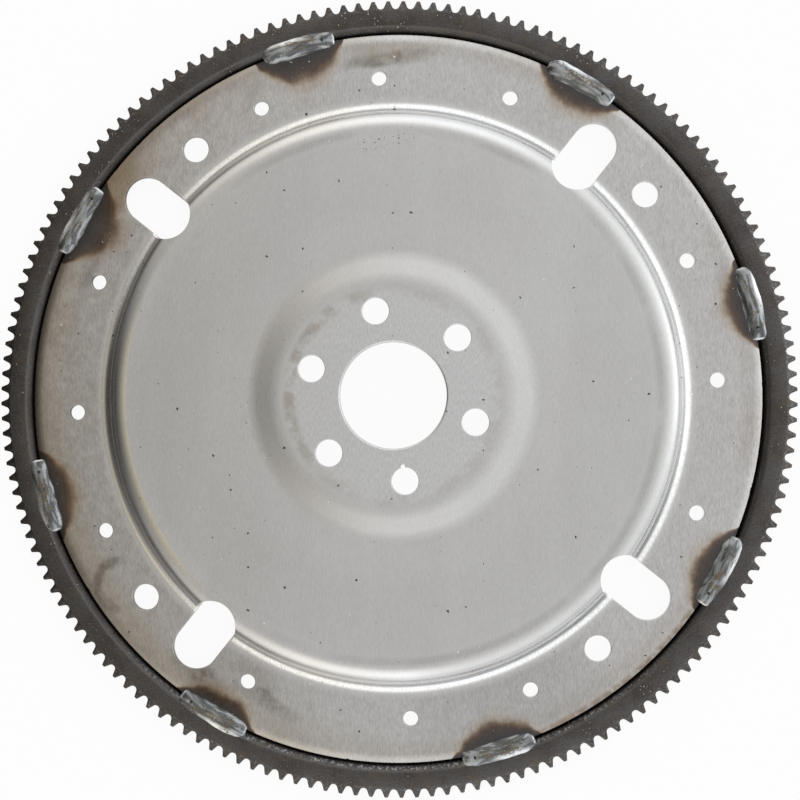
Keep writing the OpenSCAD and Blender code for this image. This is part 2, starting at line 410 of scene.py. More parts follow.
def make_ring():
    """The toothed ring: one tooth, shaped and repeated round the axis."""
    mesh = bmesh.new()
    draw_tooth_outline(mesh)
    front = bmesh.ops.extrude_face_region(mesh, geom=mesh.faces[:], use_keep_orig=True)["geom"]
    bmesh.ops.translate(
        mesh, verts=[part for part in front if isinstance(part, bmesh.types.BMVert)], vec=(0, 0, RING_W))
    bmesh.ops.recalc_face_normals(mesh, faces=mesh.faces)

    slope = Vector((math.sin(TOOTH_BEVEL_SLOPE), 0, math.cos(TOOTH_BEVEL_SLOPE)))
    cut = bmesh.ops.bisect_plane(
        mesh, geom=mesh.verts[:] + mesh.edges[:] + mesh.faces[:], plane_co=section(BEVEL_R, RING_W),
        plane_no=slope, clear_outer=True)["geom_cut"]
    bmesh.ops.contextual_create(mesh, geom=[part for part in cut if isinstance(part, bmesh.types.BMEdge)])
    bmesh.ops.recalc_face_normals(mesh, faces=mesh.faces)

    bore_edges = [
        edge for edge in hard_edges(mesh)
        if all(vert.co.z > RING_W / 2 and vert.co.xy.length < BEVEL_R for vert in edge.verts)]
    bmesh.ops.bevel(
        mesh, geom=bore_edges, offset=RING_EDGE_R, offset_type="OFFSET", affect="EDGES", segments=1,
        profile=0.5, material=-1)
    shoulders = [
        edge for edge in hard_edges(mesh)
        if all(
            vert.co.z > RING_W / 2 and vert.co.xy.length < BEVEL_R - SHOULDER_SLACK for vert in edge.verts)]
    bmesh.ops.bevel(
        mesh, geom=shoulders, offset=RING_EDGE_BLEND, offset_type="OFFSET", affect="EDGES",
        segments=EDGE_STEPS, profile=0.5, material=-1)
    tooth_edges = [
        edge for edge in hard_edges(mesh)
        if all(vert.co.xy.length > BEVEL_R + TOOTH_SLACK for vert in edge.verts)]
    bmesh.ops.bevel(
        mesh, geom=tooth_edges, offset=TOOTH_EDGE, offset_type="OFFSET", affect="EDGES",
        segments=TOOTH_EDGE_STEPS, profile=0.5, material=-1, clamp_overlap=True)
    bmesh.ops.delete(mesh, geom=[face for face in mesh.faces if on_side(face)], context="FACES")

    bmesh.ops.rotate(
        mesh, verts=mesh.verts, cent=(0, 0, 0), matrix=Matrix.Rotation(TOOTH_TURN, 3, "Z"))
    bmesh.ops.spin(
        mesh, geom=mesh.verts[:] + mesh.edges[:] + mesh.faces[:], cent=(0, 0, 0), axis=(0, 0, 1),
        angle=TURN * (TEETH - 1) / TEETH, steps=TEETH - 1, use_duplicate=True)
    close_skin(mesh)
    ring = make_object("starter_ring", mesh)
    shade(ring, RING_SHARP)
    return ring


# Stitch welds

WELD_RINGS = 96
WELD_SIDES = 48
WELD_TOP = 3.4 * MM
WELD_SINK = 2.0 * MM
WELD_Z = RING_W - 1.5 * MM
START_BLUNT = 3.2
END_BLUNT = 5.0
START_HALF_W = 5.6 * MM
END_HALF_W = 4.7 * MM
WELD_SHARP = 80 * DEG
WELD_SEED_STEP = 10.0
# Heights of the uneven parts of a weld: its line, its sides, its lumps and its seams
WANDER = 0.45 * MM
WAVES = 0.45 * MM
LUMPS = 0.3 * MM
SEAMS = 0.12 * MM
# The crater near a weld's end, as a share of its half length, and the clefts in its two ends
CRATER_AT = 0.66
CRATER_R = 2.6 * MM
CRATER_DEPTH = 0.6 * MM
END_CLEFT = 1.3 * MM
START_CLEFT = 0.6 * MM
CLEFT_HALF_W = 1.2 * MM


def weld_form(along, side, up, seed):
    """Moves a point of a unit ball to its place on a straight weld that starts at +1 and ends at -1."""
    girth = math.sqrt(max(side * side + up * up, 1e-12))
    blunt = START_BLUNT if along > 0 else END_BLUNT
    swell = max(1 - abs(along) ** blunt, 0.0) ** (1 / blunt) / girth
    start = (along + 1) / 2
    start_end = max(0.0, along - 0.2) / 0.8
    half_w = END_HALF_W + (START_HALF_W - END_HALF_W) * start ** 1.3
    wander = WANDER * noise.noise(Vector((along * 1.4, seed, 0.3)))
    wavy = WAVES * noise.noise(Vector((along * 3.5, side * 0.9, seed + 7)))
    x = along * WELD_L / 2
    y = side * swell * (half_w + wavy) + wander
    if up < 0:
        return Vector((x, y, up * swell * WELD_SINK))
    lump = LUMPS * noise.noise(Vector((along * 2.2, side * 1.1, seed + 11)))
    seam = SEAMS * noise.noise(Vector((along * 3.0, side * 5.0, seed + 3)))
    crater_gap = Vector((x + CRATER_AT * WELD_L / 2, y * 1.2)).length / CRATER_R
    crater = CRATER_DEPTH * math.exp(-crater_gap * crater_gap)
    cleft = max(0.0, -along - 0.8) / 0.2 * END_CLEFT + max(0.0, along - 0.9) / 0.1 * START_CLEFT
    cleft *= math.exp(-(y / CLEFT_HALF_W) ** 2)
    top = WELD_TOP * (0.82 + 0.26 * start_end)
    z = (up * swell) ** 1.4 * top + up * (lump + seam - crater - cleft)
    return Vector((x, y, z))


def make_weld(i):
    """One hand-laid bead, bent round the rim."""
    mesh = bmesh.new()
    bmesh.ops.create_uvsphere(mesh, u_segments=WELD_SIDES, v_segments=WELD_RINGS, radius=1)
    along_layer = mesh.verts.layers.float.new("along")
    across_layer = mesh.verts.layers.float.new("across")
    for vert in mesh.verts:
        across, up, along = vert.co
        vert[along_layer] = along
        vert[across_layer] = across
        straight = weld_form(along, across, up, WELD_SEED_STEP * i)
        angle = WELD_TURNS[i - 1] + straight.x / WELD_R
        vert.co = turned(WELD_R + straight.y, angle, WELD_Z + straight.z)
    bmesh.ops.reverse_faces(mesh, faces=mesh.faces)
    weld = make_object(f"stitch_weld_{i}", mesh)
    shade(weld, WELD_SHARP)
    return weld


# Shader tools

class Field:
    """A value that varies over a surface: Python's operators on it add Math nodes."""

    def __init__(self, graph, socket):
        self.graph = graph
        self.socket = socket

    def math(self, operation, *values):
        return self.graph.add("Math", {"operation": operation}, dict(enumerate(values)))

    def __add__(self, other):
        return self.math("ADD", self, other)

    def __radd__(self, other):
        return self.math("ADD", other, self)

    def __sub__(self, other):
        return self.math("SUBTRACT", self, other)

    def __rsub__(self, other):
        return self.math("SUBTRACT", other, self)

    def __mul__(self, other):
        return self.math("MULTIPLY", self, other)

    def __rmul__(self, other):
        return self.math("MULTIPLY", other, self)

    def __truediv__(self, other):
        return self.math("DIVIDE", self, other)

    def __pow__(self, other):
        return self.math("POWER", self, other)

    def __abs__(self):
        return self.math("ABSOLUTE", self)

    def least(self, other):
        return self.math("MINIMUM", self, other)

    def most(self, other):
        return self.math("MAXIMUM", self, other)

    def rise(self, low, high):
        """Goes smoothly from 0 at low to 1 at high."""
        return self.graph.add(
            "MapRange", {"interpolation_type": "SMOOTHSTEP"},
            {"Value": self, "From Min": low, "From Max": high, "To Min": 0.0, "To Max": 1.0})

    def fall(self, low, high):
        """Goes smoothly from 1 at low to 0 at high."""
        return 1 - self.rise(low, high)


class Graph:
    """The node tree of a material or of the world."""

    def __init__(self, tree):
        self.tree = tree
        tree.nodes.clear()

    def add(self, kind, settings=None, inputs=None, output=0):
        """Adds one node: its settings first, then the values or links of its sockets."""
        node = self.tree.nodes.new("ShaderNode" + kind)
        for name, value in (settings or {}).items():
            if name == "stops":
                self.set_stops(node.color_ramp, value)
            elif name == "interpolation":
                node.color_ramp.interpolation = value
            else:
                setattr(node, name, value)
        for name, value in (inputs or {}).items():
            if isinstance(value, Field):
                self.tree.links.new(value.socket, node.inputs[name])
            else:
                node.inputs[name].default_value = value
        return Field(self, node.outputs[output]) if node.outputs else None

    @staticmethod
    def set_stops(ramp, stops):
        while len(ramp.elements) < len(stops):
            ramp.elements.new(1.0)
        for element, (position, colour) in zip(ramp.elements, stops):
            element.position = position
            element.color = (*colour, 1.0)

    def ramp(self, value, *stops):
        """A colour that changes with a value."""
        return self.add("ValToRGB", {"stops": stops}, {"Fac": value})

    def mix(self, factor, colour, other, blend="MIX"):
        """Goes from one colour to the other, or blends the other over it."""
        inputs = {0: factor, 6: opaque(colour), 7: opaque(other)}
        return self.add("Mix", {"data_type": "RGBA", "blend_type": blend}, inputs, output=2)

    def vector(self, operation, *values, output=0):
        return self.add("VectorMath", {"operation": operation}, dict(enumerate(values)), output)

    def scaled(self, vector, factor):
        return self.add("VectorMath", {"operation": "SCALE"}, {0: vector, "Scale": factor})

    def grey(self, value):
        return self.add("CombineColor", None, {0: value, 1: value, 2: value})

    def axes(self, vector):
        """The three numbers of a vector."""
        return [self.add("SeparateXYZ", inputs={0: vector}, output=name) for name in "XYZ"]

    def picture_point(self):
        """Object coordinates, turned so that X is the picture's right and Y its top."""
        place = self.add("TexCoord", output="Object")
        return self.add(
            "Mapping", {"vector_type": "POINT"}, {"Vector": place, "Rotation": (0, 0, PICTURE_TURN)})

    def stretch(self, point, scale):
        return self.add("Mapping", {"vector_type": "POINT"}, {"Vector": point, "Scale": scale})

    def noise(self, point, size, detail=3.0, roughness=0.55):
        """Cloudy noise from 0 to 1, with blotches of about a size in metres."""
        return self.add(
            "TexNoise", None,
            {"Vector": point, "Scale": 1 / size, "Detail": detail, "Roughness": roughness})

    def shaken(self, point, size, detail, reach):
        """The point, pushed about in the plane by noise."""
        cells = {"Vector": point, "Scale": 1 / size, "Detail": detail}
        push = self.add("TexNoise", None, cells, output="Color")
        push = self.vector("SUBTRACT", push, (0.5, 0.5, 0.5))
        return self.vector("MULTIPLY_ADD", push, (reach, reach, 0.0), point)

    def dots(self, point, spacing, share, radius):
        """Scattered round spots: one cell in a few has one, and their sizes differ."""
        cells = {"Vector": point, "Scale": 1 / spacing, "Randomness": 1.0}
        flat = {"voronoi_dimensions": "2D"}
        distance = self.add("TexVoronoi", flat, cells, output="Distance")
        pick = self.axes(self.add("TexVoronoi", flat, cells, output="Color"))
        spot = (pick[0] - (1 - share)).most(0.0) * (radius / spacing / share)
        return (distance / (spot + 0.0001)).fall(0.75, 1.15) * pick[0].rise(1 - share, 1 - share * 0.9)

    def bump(self, height, strength, distance):
        return self.add("Bump", None, {"Height": height, "Strength": strength, "Distance": distance})

    def surface(self, **sockets):
        """The material's shader; a name's underscores stand for spaces."""
        named = {name.replace("_", " "): value for name, value in sockets.items()}
        shader = self.add("BsdfPrincipled", None, named)
        self.add("OutputMaterial", None, {"Surface": shader})


def opaque(colour):
    """A colour with its alpha, or the field as it is."""
    return colour if isinstance(colour, Field) else (*colour, 1.0)


def new_material(name):
    """A new material and its empty node tree."""
    material = bpy.data.materials.new(name)
    material.use_nodes = True
    return material, Graph(material.node_tree)


def finish_with(piece, material):
    """Gives a piece one material all over."""
    piece.data.materials.clear()
    piece.data.materials.append(material)


# Finish of the plate

STEEL = (0.62, 0.617, 0.615)
DULL_STEEL = (0.578, 0.571, 0.564)
HUB_STEEL = (0.655, 0.657, 0.66)
# Colours of painted highlights on the outer step: its top bend, its wall and its foot
BEND_HIGHLIGHT = (0.92, 0.92, 0.92)
WALL_HIGHLIGHT = (0.96, 0.96, 0.96)
FOOT_HIGHLIGHT = (0.90, 0.90, 0.90)
# Colours of painted shade on the wall at the left and in the corner at its foot
SHADED_WALL = (0.30, 0.29, 0.27)
SHADED_CORNER = (0.34, 0.34, 0.345)
# Colours of painted golden reflections at the left: on the foot line and on the top line
GOLD_FOOT_HIGHLIGHT = (1.0, 0.95, 0.80)
GOLD_TOP_HIGHLIGHT = (0.76, 0.70, 0.57)
WORN_HUB = (0.40, 0.365, 0.31)
PALE_FILM = (0.885, 0.88, 0.876)
BROWN_FILM = (0.70, 0.625, 0.55)
LEFT_FILM = (0.63, 0.605, 0.565)
RIM_FILM = (0.70, 0.635, 0.55)
LOWER_LEFT_FILM = (0.62, 0.555, 0.465)
# Dirt with painted shade on the rim at the left
RIM_DIRT_AND_SHADE = (0.33, 0.28, 0.235)
RIM_RUST = (0.30, 0.22, 0.15)
OIL = (0.16, 0.135, 0.11)
HAZE = (0.29, 0.225, 0.145)
SPECK = (0.045, 0.04, 0.038)
FLECK = (0.95, 0.94, 0.92)
SPATTER = (0.60, 0.59, 0.56)
# Stops of the scorch, from clean sheet to the edge of a weld
SCORCH = (
    (0.02, (1.0, 1.0, 1.0)),
    (0.18, (0.965, 0.935, 0.90)),
    (0.31, (0.89, 0.81, 0.72)),
    (0.39, (0.64, 0.53, 0.43)),
    (0.46, (0.36, 0.275, 0.215)),
    (0.55, (0.20, 0.158, 0.140)),
    (0.67, (0.130, 0.118, 0.118)),
    (0.85, (0.098, 0.100, 0.107)),
    (1.0, (0.115, 0.118, 0.126)),
)

# Bands round the axis, in millimetres: two radii over which each comes in and two over which it goes out
BEND_BAND = (119.6, 122.6, 127.5, 128.1)
WALL_BAND = (124.5, 127.5, 128.05, 128.2)
CORNER_BAND = (128.05, 128.2, 129.3, 130.2)
FOOT_BAND = (129.6, 130.8, 132.0, 133.4)
TOP_LINE_BAND = (119.0, 119.7, 120.6, 123.5)
INNER_STEP_DARK_BAND = (114.5, 117.0, 118.0, 119.6)
OUTER_DISC_BAND = (70, 92, 112, 118)
HUB_EDGE_BAND = (42, 45.5, 47, 50)
FOOT_LINE_R = 132.3 * MM

# Ways that a tint, a painted highlight or a painted shade lies from the axis: to the picture's right, and
# up
LEFT_WAY = (-1.0, 0.0)
GOLD_HIGHLIGHT_WAY = (-0.97, -0.22)
WARM_WAY = (-0.95, 0.25)
INNER_LEFT_WAY = (-0.94, -0.34)
LOWER_LEFT_WAY = (-0.77, -0.64)
DOWN_WAY = (0.0, -1.0)
BOTTOM_WAY = (0.342, -0.94)
DIM_BEND_LIGHT_WAY = (0.5, -0.866)
RUSTY_WAY = (0.643, -0.766)
LOWER_RIGHT_WAY = (0.766, -0.643)

# Oily marks on the annulus: the pixel of each middle, its half sides, its turn and its strength
SMEARS = (
    ((206, 682), (26 * MM, 8.5 * MM), -42 * DEG, 0.8),
    ((266, 700), (21 * MM, 5.5 * MM), -28 * DEG, 0.6),
    ((236, 668), (30 * MM, 12 * MM), -30 * DEG, 0.24),
    ((248, 95), (4 * MM, 12 * MM), -20 * DEG, 0.15),
    ((386, 57), (27 * MM, 4.5 * MM), 6 * DEG, 0.55),
    ((88, 262), (5 * MM, 20 * MM), -20 * DEG, 0.35),
    ((722, 280), (6 * MM, 11 * MM), 10 * DEG, 0.25),
)
# Brown haze beside the fourth weld and along the rim at the top
HAZES = (
    ((112, 184), (24 * MM, 15 * MM), 50 * DEG, 0.9),
    ((396, 49), (28 * MM, 6.5 * MM), 0.0, 0.4),
)
# A rubbed patch of specks near the top of the disc, and a rubbed arc beside a stud hole
RUB = ((386, 146), (24 * MM, 5 * MM), 8 * DEG)
ARC_PIXEL = (118, 585)
ARC_R = 10.5 * MM

# How far the scorch of each weld reaches in from it, in millimetres
HEAT_REACH = (20.0, 22.2, 27.2, 29.4, 21.8, 18.8, 21.6, 20.2)
HEAT_HALF_L = 22 * MM
# What a colour of 1 stands for where a ramp holds a reach, and the colour that stands for no stray
FULL_REACH = 100 * MM
NO_STRAY = 0.5


def weld_heat(graph, point):
    """How near a point of the plate is to the heat of a weld, from 0 to 1."""
    x, y, _ = graph.axes(point)
    radius = (x * x + y * y) ** 0.5
    pitch = TURN / WELD_COUNT
    first = WELD_TURNS[0] + PICTURE_TURN
    turn = y.math("ARCTAN2", y, x) - (first - pitch / 2)
    turn = turn.math("FLOORED_MODULO", turn, TURN)
    even_place = turn.math("FLOOR", turn / pitch) * pitch + pitch / 2
    strays = [(weld_turn - WELD_TURNS[0] + pitch / 2) % TURN - pitch / 2 - pitch * i
              for i, weld_turn in enumerate(WELD_TURNS)]
    stops = [(i / WELD_COUNT, (NO_STRAY + stray, reach * MM / FULL_REACH, 0.0))
             for i, (stray, reach) in enumerate(zip(strays, HEAT_REACH))]
    own = graph.axes(graph.add(
        "ValToRGB", {"interpolation": "CONSTANT", "stops": stops}, {"Fac": turn / TURN}))
    sideways = (turn - even_place - (own[0] - NO_STRAY)) * radius / HEAT_HALF_L
    inward = (WELD_R - radius) / (own[1] * FULL_REACH)
    return 1 - (inward.most(0.0) / (1 - sideways * sideways).most(0.02)).least(1.0)


def picture_place(pixel_x, pixel_y):
    """Where a pixel of the picture lies on the annulus, with X to the right and Y up."""
    return ((pixel_x - AXIS_PIXEL[0]) / PIXELS_PER_M, (AXIS_PIXEL[1] - pixel_y) / PIXELS_PER_M, 0.0)


def blob(graph, point, pixel, half_sides, turn):
    """A soft oval patch over a pixel of the picture: 1 in its middle and 0 outside it."""
    moved = graph.vector("SUBTRACT", point, picture_place(*pixel))
    scale = tuple(1 / side for side in half_sides) + (0.0,)
    inverse = {"Vector": moved, "Rotation": (0, 0, -turn)}
    turned_point = graph.add("Mapping", {"vector_type": "POINT"}, inverse)
    away = graph.vector("LENGTH", graph.vector("MULTIPLY", turned_point, scale), output="Value")
    return away.fall(0.3, 1.0)


def blobs(graph, point, patches):
    """The sum of soft patches, each times its own strength."""
    return sum(blob(graph, point, *patch) * strength for *patch, strength in patches)


class Spot:
    """A point of a surface, as the picture shows it."""

    def __init__(self, graph):
        self.point = graph.picture_point()
        x, y, _ = graph.axes(self.point)
        self.radius = (x * x + y * y) ** 0.5
        self.across = x / self.radius
        self.upwards = y / self.radius

    def band(self, limits):
        """1 inside a band round the axis and 0 outside it."""
        in_from, in_to, out_from, out_to = (limit * MM for limit in limits)
        return self.radius.rise(in_from, in_to) * self.radius.fall(out_from, out_to)

    def towards(self, way):
        """How far a point lies one way from the axis, from -1 to 1."""
        return self.across * way[0] + self.upwards * way[1]


class Sheet:
    """What several parts of the plate's finish go by."""

    def __init__(self, graph):
        self.graph = graph
        self.spot = Spot(graph)
        point = self.spot.point
        self.cloud = graph.noise(point, 45 * MM, 3.0)
        self.blotch = graph.noise(point, 12 * MM, 3.0, 0.65)
        self.mottle = graph.noise(point, 4.5 * MM, 3.0, 0.6)
        self.grain = graph.noise(graph.stretch(point, (1.0, 0.22, 1.0)), 0.5 * MM, 2.0)
        self.ragged = graph.shaken(point, 9 * MM, 3.0, 5 * MM)
        self.warm = self.spot.towards(WARM_WAY).rise(0.25, 1.0)
        # Where the painted golden reflection goes, at the left
        self.gold_highlight = self.spot.towards(GOLD_HIGHLIGHT_WAY).rise(0.82, 0.94)
        # The step's foot band away from the left, where a painted highlight and painted sparkle go
        self.foot = self.spot.band(FOOT_BAND) * (1 - self.gold_highlight)
        self.hub_top = self.spot.radius.fall(44 * MM, 50 * MM)
        self.annulus = self.spot.radius.rise(133 * MM, 137 * MM)
        heat = weld_heat(graph, self.ragged)
        self.heat = heat + heat.rise(0.0, 0.3) * ((self.mottle - 0.5) * 0.12 + (self.blotch - 0.5) * 0.22)

    def pressed(self, colour):
        """The outer step with painted highlights towards the light, painted shade and painted golden
        reflections at the left, and the disc and the hub.
        """
        graph, spot = self.graph, self.spot
        # The left side, where shade is painted on the step
        shaded = spot.towards(LEFT_WAY).rise(0.3, 0.85)
        lower_right = spot.towards(LOWER_RIGHT_WAY).rise(0.8, 1.0)
        # Painted highlight on the step's top bend, strongest at the top and bottom and weaker at the lower
        # right
        bend = spot.band(BEND_BAND) * (1 - shaded)
        lit_ends = (spot.upwards * spot.upwards).rise(0.5, 0.95)
        dim_bend_light = spot.towards(DIM_BEND_LIGHT_WAY).rise(0.88, 0.97)
        colour = graph.mix(bend * (0.1 + lit_ends * 0.45) * (1 - dim_bend_light), colour, BEND_HIGHLIGHT)
        # Painted highlight on the wall away from the left, and painted shade on it at the left
        wall = spot.band(WALL_BAND)
        colour = graph.mix(wall * (1 - shaded) * 0.85, colour, WALL_HIGHLIGHT)
        colour = graph.mix(wall * shaded * 0.5, colour, SHADED_WALL)
        # Painted shade in the corner at the wall's foot, at the left and the lower right
        corner = spot.band(CORNER_BAND) * (shaded + lower_right).least(1.0)
        colour = graph.mix(corner * 0.55, colour, SHADED_CORNER)
        # Painted highlight on the foot band away from the left
        colour = graph.mix(self.foot * 0.85, colour, FOOT_HIGHLIGHT)
        # Painted golden reflection of the warm light at the left, on the foot line and the top line
        foot_highlight_line = abs(spot.radius - FOOT_LINE_R).fall(0.3 * MM, 0.95 * MM) * self.gold_highlight
        colour = graph.mix(foot_highlight_line * 0.95, colour, GOLD_FOOT_HIGHLIGHT)
        colour = graph.mix(spot.band(TOP_LINE_BAND) * self.gold_highlight * 0.8, colour, GOLD_TOP_HIGHLIGHT)
        # A patchy darker band on the disc just inside the step, except at the left
        inner_step_darkening = spot.band(INNER_STEP_DARK_BAND) * (1 - shaded)
        colour = graph.scaled(colour, 1 - inner_step_darkening * (0.04 + self.cloud.rise(0.4, 0.6) * 0.12))
        colour = graph.scaled(colour, 1 - spot.band(OUTER_DISC_BAND) * 0.045)
        return graph.mix(self.hub_top * 0.8, colour, HUB_STEEL)

    def filmed(self, colour):
        """The annulus: browner towards the rim on the left, with dirt and painted shade on the rim there,
        and rusty at the lower right.
        """
        graph, spot, radius = self.graph, self.spot, self.spot.radius
        brown = self.warm * (0.3 + radius.rise(142 * MM, 159 * MM) * 0.7)
        brown = brown * (0.5 + self.blotch.rise(0.36, 0.66) * 0.5)
        film = graph.mix(brown, PALE_FILM, BROWN_FILM)
        inner_left = spot.towards(INNER_LEFT_WAY).rise(0.25, 0.95) * radius.fall(147 * MM, 158 * MM)
        film = graph.mix(inner_left * (0.16 + self.blotch * 0.45), film, LEFT_FILM)
        rim_film = radius.rise(153 * MM, 158 * MM) * self.cloud.rise(0.36, 0.6)
        film = graph.mix(rim_film * 0.35, film, RIM_FILM)
        lower_left = spot.towards(LOWER_LEFT_WAY).rise(0.6, 0.95) * radius.rise(146 * MM, 156 * MM)
        film = graph.mix(lower_left * 0.55, film, LOWER_LEFT_FILM)
        bottom = spot.towards(BOTTOM_WAY).rise(0.93, 1.0)
        film = graph.scaled(film, 1 + (self.mottle - 0.5) * (0.16 + self.warm * 0.3) - bottom * 0.13)
        # Dirt and painted shade on the rim at the left, where it turns away from the light
        rim_dirt_and_shade = radius.rise(157 * MM, PLATE_R) * self.warm
        film = graph.mix(rim_dirt_and_shade * 0.85, film, RIM_DIRT_AND_SHADE)
        rusty = radius.rise(160.5 * MM, 163.5 * MM) * spot.towards(RUSTY_WAY).rise(0.90, 0.98)
        film = graph.mix(rusty * (0.5 + self.mottle.rise(0.36, 0.56) * 0.5) * 0.8, film, RIM_RUST)
        return graph.mix(self.annulus, colour, graph.mix(1.0, colour, film, "MULTIPLY"))

    def smears(self):
        """How thick the oily and rubbed marks lie."""
        graph = self.graph
        swirl = graph.vector("SUBTRACT", self.ragged, picture_place(*ARC_PIXEL))
        swirl_r = graph.vector("LENGTH", graph.vector("MULTIPLY", swirl, (1.0, 1.0, 0.0)), output="Value")
        arc = abs(swirl_r - ARC_R).fall(0.6 * MM, 3.2 * MM) * graph.axes(swirl)[0].fall(-2 * MM, 4 * MM)
        smear = arc * 0.65 + blobs(graph, self.ragged, SMEARS)
        return (smear * (0.55 + self.blotch.rise(0.4, 0.62) * 0.7)).least(0.85)

    def stained(self, colour, smear):
        """Oil, brown haze, a worn band where the hub turns down, and the scorch of the welds."""
        graph = self.graph
        colour = graph.mix(smear, colour, OIL)
        haze = blobs(graph, self.ragged, HAZES) * (0.5 + self.mottle * 0.6)
        colour = graph.mix(haze, colour, HAZE)
        wear_and_highlight = self.spot.band(HUB_EDGE_BAND) * self.blotch.rise(0.40, 0.60) * (0.35 + 0.65 * self.warm)
        colour = graph.mix(wear_and_highlight * 0.7, colour, WORN_HUB)
        return graph.mix(1.0, colour, graph.ramp(self.heat, *SCORCH), "MULTIPLY")

    def speckled(self, colour):
        """The colour with specks, pits, pale flecks and spatter, and how dark the specks make it."""
        graph = self.graph
        point = graph.shaken(self.spot.point, 0.8 * MM, 0.0, 1.1 * MM)
        specks = graph.dots(point, 8 * MM, 0.13, 0.62 * MM)
        tiny = graph.dots(point, 2.6 * MM, 0.10, 0.26 * MM)
        pits = tiny * self.blotch.rise(0.42, 0.58) * self.heat.fall(0.15, 0.4)
        rubbed = graph.dots(point, 1.3 * MM, 0.5, 0.42 * MM) * blob(graph, self.ragged, *RUB)
        dark = specks.most(pits * 0.7).most(rubbed * 0.8)
        colour = graph.mix(dark * 0.9, colour, SPECK)
        flecks = graph.dots(point, 9.5 * MM, 0.08, 0.4 * MM)
        colour = graph.mix(flecks * 0.7, colour, FLECK)
        spatter = tiny * self.heat.rise(0.2, 0.5)
        return graph.mix(spatter * 0.65, colour, SPATTER), dark


def plate_material():
    """Bare cold-rolled sheet: fine grain, dark specks, brown stains and the scorch of the welds, with
    painted highlights, reflections and shade on its steps and painted shade at its rim.
    """
    material, graph = new_material("cold_rolled_sheet")
    sheet = Sheet(graph)
    cloud, grain, heat = sheet.cloud, sheet.grain, sheet.heat
    colour = graph.mix(cloud.rise(0.35, 0.7) * 0.5, STEEL, DULL_STEEL)
    streaks = graph.noise(graph.stretch(sheet.spot.point, (1.0, 0.12, 1.0)), 15 * MM, 2.0)
    colour = graph.scaled(colour, 1 + (streaks - 0.5) * 0.10)
    smear = sheet.smears()
    colour = sheet.stained(sheet.filmed(sheet.pressed(colour)), smear)
    colour, dark = sheet.speckled(colour)
    # How strongly the grain shows; on the foot band away from the left it is also painted sparkle
    grain_and_sparkle = 0.24 + sheet.annulus * 0.42 + sheet.hub_top * 0.3 + sheet.foot * 0.7
    colour = graph.scaled(colour, 1 + (grain - 0.5) * grain_and_sparkle)
    rough = 0.25 + (cloud - 0.5) * 0.08 + heat * 0.15 + dark * 0.3 + smear * 0.15 + (grain - 0.5) * 0.08
    metal = 1 - heat.rise(0.45, 0.7) * 0.4
    normal = graph.bump(grain, 0.05, 0.05 * MM)
    graph.surface(Base_Color=colour, Metallic=metal, Roughness=rough, Normal=normal)
    return material


# Finish of the ring

SCALE = (0.096, 0.091, 0.089)
DARK_SCALE = (0.070, 0.063, 0.060)
PALE_GRIT = (0.18, 0.168, 0.158)
DARK_GRIT = (0.03, 0.027, 0.026)
RING_RUST = (0.12, 0.090, 0.062)
HOBBED = (0.25, 0.24, 0.225)
GLINT = (0.55, 0.53, 0.49)
# A worn edge's colour, painted as a highlight
WORN_EDGE_HIGHLIGHT = (0.20, 0.19, 0.18)
# Colour of painted glints along scratches
SCRATCH_GLINT = (0.42, 0.43, 0.45)
EDGE_OUTER_R = RING_BORE_R + RING_EDGE_R
SCRATCH_R = RING_BORE_R + 2.3 * MM


def ring_material():
    """Dark oxide on hobbed steel: brownish black, gritty, with painted fine glints, greyer bevels, a worn
    edge painted as a highlight, painted glints along scratches and painted shade in the groove.
    """
    material, graph = new_material("oxide_scale")
    spot = Spot(graph)
    point, radius = spot.point, spot.radius
    cloud = graph.noise(point, 14 * MM, 3.0, 0.6)
    grit = graph.noise(point, 0.8 * MM, 3.0, 0.7)
    bevel = radius.rise(BEVEL_R - 0.2 * MM, BEVEL_R + 0.3 * MM)
    marks = graph.noise(graph.stretch(point, (1.0, 1.0, 0.15)), 1.3 * MM, 2.0, 0.7)
    colour = graph.mix(cloud.rise(0.35, 0.68), SCALE, DARK_SCALE)
    colour = graph.mix(grit.rise(0.54, 0.72) * 0.5, colour, PALE_GRIT)
    colour = graph.mix(grit.fall(0.30, 0.48) * 0.55, colour, DARK_GRIT)
    rust = graph.noise(point, 6 * MM, 3.0, 0.65).rise(0.52, 0.70)
    colour = graph.mix(rust * 0.4, colour, RING_RUST)
    colour = graph.mix(bevel * marks.rise(0.48, 0.72) * 0.6, colour, HOBBED)
    glints = graph.dots(point, 1.5 * MM, 0.22, 0.3 * MM) * cloud.rise(0.5, 0.62)
    colour = graph.mix(glints * 0.85, colour, GLINT)
    # A worn edge at the chamfer's outer rim, painted as a highlight line
    wear_and_highlight = abs(radius - EDGE_OUTER_R).fall(0.1 * MM, 0.7 * MM) * cloud.rise(0.3, 0.6)
    colour = graph.mix(wear_and_highlight * 0.25, colour, WORN_EDGE_HIGHLIGHT)
    # Painted glints along scratches on the chamfer at the bottom, where it faces the light
    scratch_glints = abs(radius - SCRATCH_R).fall(0.2 * MM, 1.3 * MM) * marks.rise(0.48, 0.62)
    scratch_glints = scratch_glints * spot.towards(DOWN_WAY).rise(0.55, 0.95)
    colour = graph.mix(scratch_glints * 0.7, colour, SCRATCH_GLINT)
    # Painted shade in the groove between the ring and the plate
    groove_shade = radius.fall(RING_BORE_R + 0.5 * MM, RING_BORE_R + 2.8 * MM)
    colour = graph.scaled(colour, 1 - groove_shade * 0.7)
    rough = 0.38 + (cloud - 0.5) * 0.15 + (grit - 0.5) * 0.2
    normal = graph.bump(grit + marks * bevel, 0.22, 0.09 * MM)
    graph.surface(Base_Color=colour, Metallic=1.0, Roughness=rough, Normal=normal)
    return material


# Finish of the welds

DARK_WELD = (0.110, 0.114, 0.117)
PALE_WELD = (0.385, 0.400, 0.408)
